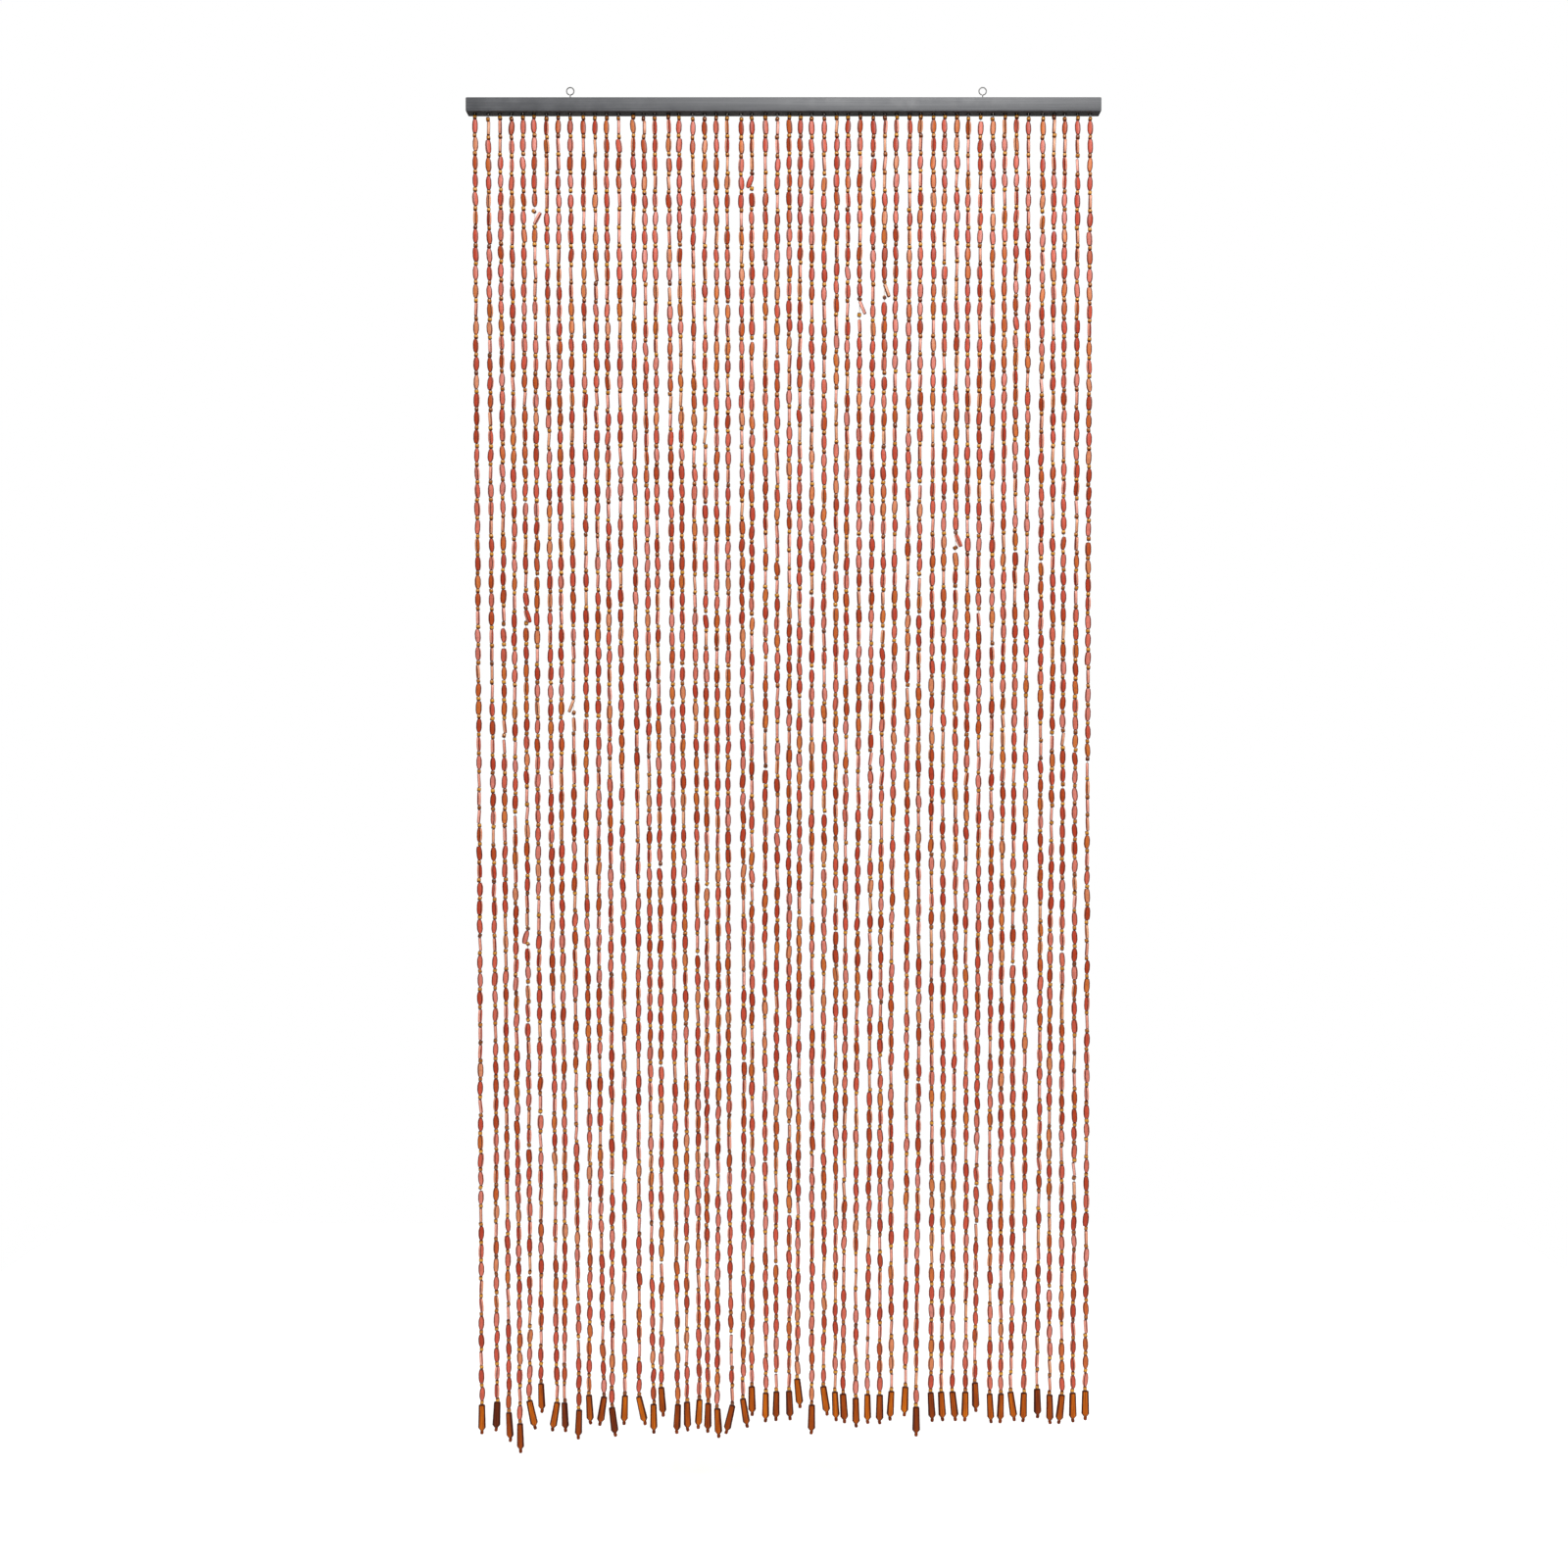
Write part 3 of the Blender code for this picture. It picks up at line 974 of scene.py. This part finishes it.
Level = namedtuple("Level", "below_top width depth")
PENDANT_LEVELS = (
    Level(0, 0.0082, 0.0048),
    Level(PENDANT_HEAD, 0.0092, 0.0054),
    Level(0.0330, PENDANT_WIDTH, PENDANT_DEPTH),
    Level(PENDANT_LENGTH, 0.0050, 0.0046),
)

pendant = begin(
    bpy.ops.mesh.primitive_cube_add,
    size=1,
    location=(0, 0, -PENDANT_LENGTH / 2),
    scale=(PENDANT_WIDTH, PENDANT_DEPTH, PENDANT_LENGTH),
)
bpy.ops.object.mode_set(mode="EDIT")
cut_across([-level.below_top for level in PENDANT_LEVELS[1:-1]])
for level in PENDANT_LEVELS:
    narrow_at(-level.below_top, level.width / PENDANT_WIDTH, level.depth / PENDANT_DEPTH)
plane_corners(PENDANT_PLANED)
bpy.ops.object.mode_set(mode="OBJECT")
# Faces for the painted shade: the planed corners, the ends and the head
mark_faces(pendant, "edge", lambda f: abs(f.normal.y) < 0.93 and abs(f.normal.z) < 0.8)
mark_faces(pendant, "end", lambda f: abs(f.normal.z) > 0.6 or f.center.z > -PENDANT_HEAD)
lay_out(pendant)

# Amber brown stain on hardwood, streaked along the grain, under a thin satin varnish. The
# planed corners, the ends and the head are painted nearly black-brown as painted shade.
amber, shader = new_material(
    "amber_brown_stained_hardwood",
    Roughness=0.5,
    IOR=1.5,
    Specular_IOR_Level=0.1,
    Coat_Weight=0.04,
    Coat_Roughness=0.2,
)
tone = add_node(amber, "Attribute", attribute_name="tone").outputs["Fac"]
number = add_node(amber, "Attribute", attribute_name="number").outputs["Fac"]
place = add_node(amber, "Attribute", attribute_name="place").outputs["Vector"]
edge = add_node(amber, "Attribute", attribute_name="edge").outputs["Fac"]
end = add_node(amber, "Attribute", attribute_name="end").outputs["Fac"]
# Streaks about 1 mm wide and 25 mm long
streaks = add_node(amber, "Mapping", {"Vector": place, "Scale": (1000, 1000, 40)})
grain = add_node(
    amber,
    "TexNoise",
    {"Vector": streaks.outputs[0], "W": number, "Scale": 1.0, "Detail": 4.0},
    noise_dimensions="4D",
)
streaked = add_node(
    amber,
    "ValToRGB",
    {"Fac": grain.outputs["Fac"]},
    stops=((0.32, "#7a3202"), (0.45, "#a04c00"), (0.58, "#b65c00"), (0.72, "#d07604")),
)
batch = add_node(
    amber,
    "ValToRGB",
    {"Fac": tone},
    stops=((0.0, "#ffffff"), (0.3, "#eadcd0"), (0.65, "#ccb2a0"), (0.9, "#ac9080"), (1.0, "#7c645c")),
)
body = add_node(
    amber,
    "Mix",
    {"Factor": 1.0, 6: streaked.outputs["Color"], 7: batch.outputs["Color"]},
    data_type="RGBA",
    blend_type="MULTIPLY",
)
# Painted shade on the planed corners and the ends, nearly black-brown
shaded_corners_and_ends = add_node(amber, "Math", {0: edge, 1: end}, operation="MAXIMUM")
darker = add_node(amber, "Math", {0: shaded_corners_and_ends.outputs[0], 1: 0.92}, operation="MULTIPLY")
with_painted_shade = add_node(
    amber,
    "Mix",
    {"Factor": darker.outputs[0], 6: body.outputs[2], 7: linear("#340b03")},
    data_type="RGBA",
)
feed(amber, with_painted_shade.outputs[2], shader, "Base Color")
pores = add_node(
    amber, "Bump", {"Height": grain.outputs["Fac"], "Strength": 0.3, "Distance": 0.0001}
)
feed(amber, pores.outputs[0], shader, "Normal")

draw = random.Random(SEED + 4)
pendants = []
end_beads = []
for string in strings:
    top = string_point(string, string.length - PENDANT_LENGTH - END_BEAD_LENGTH)
    swung = Matrix.Rotation(-string.swing, 4, "Y") @ Matrix.Rotation(string.turn, 4, "Z")
    hung = Matrix.Translation(top) @ swung
    size = Matrix.Diagonal((draw.uniform(0.94, 1.04), draw.uniform(0.92, 1.02), 1, 1))
    pendants.append((hung @ size, draw.random(), draw.uniform(0, PATTERN_RANGE)))
    below = Matrix.Translation((0, 0, -PENDANT_LENGTH - END_BEAD_LENGTH / 2))
    tipped = Matrix.Rotation(math.radians(draw.gauss(0, 9)), 4, "Y")
    end_beads.append(
        (hung @ below @ tipped, draw.uniform(0.8, 1.0), draw.uniform(0, PATTERN_RANGE))
    )
piece = many(pendant, pendants)
finish_piece(piece, "pendants", amber, "strings")
bpy.data.objects.remove(pendant)


# End beads: the smallest beads, turned like the spacers but stained brown, one under each
# pendant. The thread is knotted inside them and glued.
END_BEAD_WIDTH = 0.0050

# The end beads' flat ends get the amber material's painted shade, nearly black-brown
end_bead = turned_bead(END_BEAD_LENGTH, END_BEAD_WIDTH)
piece = many(end_bead, end_beads)
finish_piece(piece, "end_beads", amber, "strings", sharp_degrees=50)
bpy.data.objects.remove(end_bead)


# Studio: a pale floor under the hem, a white surround that lights most from overhead, and one
# broad soft light in front, higher than the rail. The camera stands 2.8 m in front of the
# curtain, a little above the middle of its height, and looks slightly down.
FLOOR_BELOW_HEM = 0.060
FLOOR_SIZE = 3.2
SURROUND_LEVEL = 0.18  # strength, level with the eye and below
SURROUND_OVERHEAD = 1.52
LIGHT_POWER = 65  # watts
LIGHT_SIZE = 1.3
LIGHT_PLACE = Vector((0.5, -2.0, 0.9))
LIGHT_AIM = Vector((0, 0, -0.7))
CAMERA_PLACE = (0.0007, -2.8325, RAIL_TOP - 0.9108)
CAMERA_DOWN = 1.25  # degrees
LENS = 45.43  # millimetres, before a sensor 36 mm wide

floor = begin(
    bpy.ops.mesh.primitive_plane_add,
    size=FLOOR_SIZE,
    location=(0, 0, cad_low.z - FLOOR_BELOW_HEM),
)
floor.name = "floor"
cove, shader = new_material("pale_studio_floor", Roughness=0.9, Base_Color=linear("#fafaf8"))
floor.data.materials.append(cove)
floor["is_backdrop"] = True

world = bpy.data.worlds.new("studio")
bpy.context.scene.world = world
world.use_nodes = True
direction = add_node(world, "TexCoord").outputs["Generated"]
height = add_node(world, "SeparateXYZ", {"Vector": direction}).outputs["Z"]
strength = add_node(
    world, "MapRange", {"Value": height, "To Min": SURROUND_LEVEL, "To Max": SURROUND_OVERHEAD}
)
white = linear("#ffffff")
lighting = add_node(world, "Background", {"Color": white, "Strength": strength.outputs[0]})
seen = add_node(world, "Background", {"Color": white, "Strength": 1.0})
either = add_node(
    world,
    "MixShader",
    {
        0: add_node(world, "LightPath").outputs["Is Camera Ray"],
        1: lighting.outputs[0],
        2: seen.outputs[0],
    },
)
ending = world.node_tree.nodes["World Output"]
world.node_tree.links.new(either.outputs[0], ending.inputs["Surface"])

lamp = bpy.data.lights.new("front_light", "AREA")
lamp.energy = LIGHT_POWER
lamp.size = LIGHT_SIZE
front_light = bpy.data.objects.new("front_light", lamp)
front_light.location = LIGHT_PLACE
front_light.rotation_euler = (LIGHT_AIM - LIGHT_PLACE).to_track_quat("-Z", "Y").to_euler()
bpy.context.collection.objects.link(front_light)

camera = bpy.data.objects.new("camera", bpy.data.cameras.new("camera"))
camera.data.lens = LENS
camera.data.sensor_width = 36
camera.location = CAMERA_PLACE
camera.rotation_euler = (math.radians(90 - CAMERA_DOWN), 0, 0)
bpy.context.collection.objects.link(camera)
bpy.context.scene.camera = camera
bpy.context.scene.view_settings.view_transform = "Standard"

low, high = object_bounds()
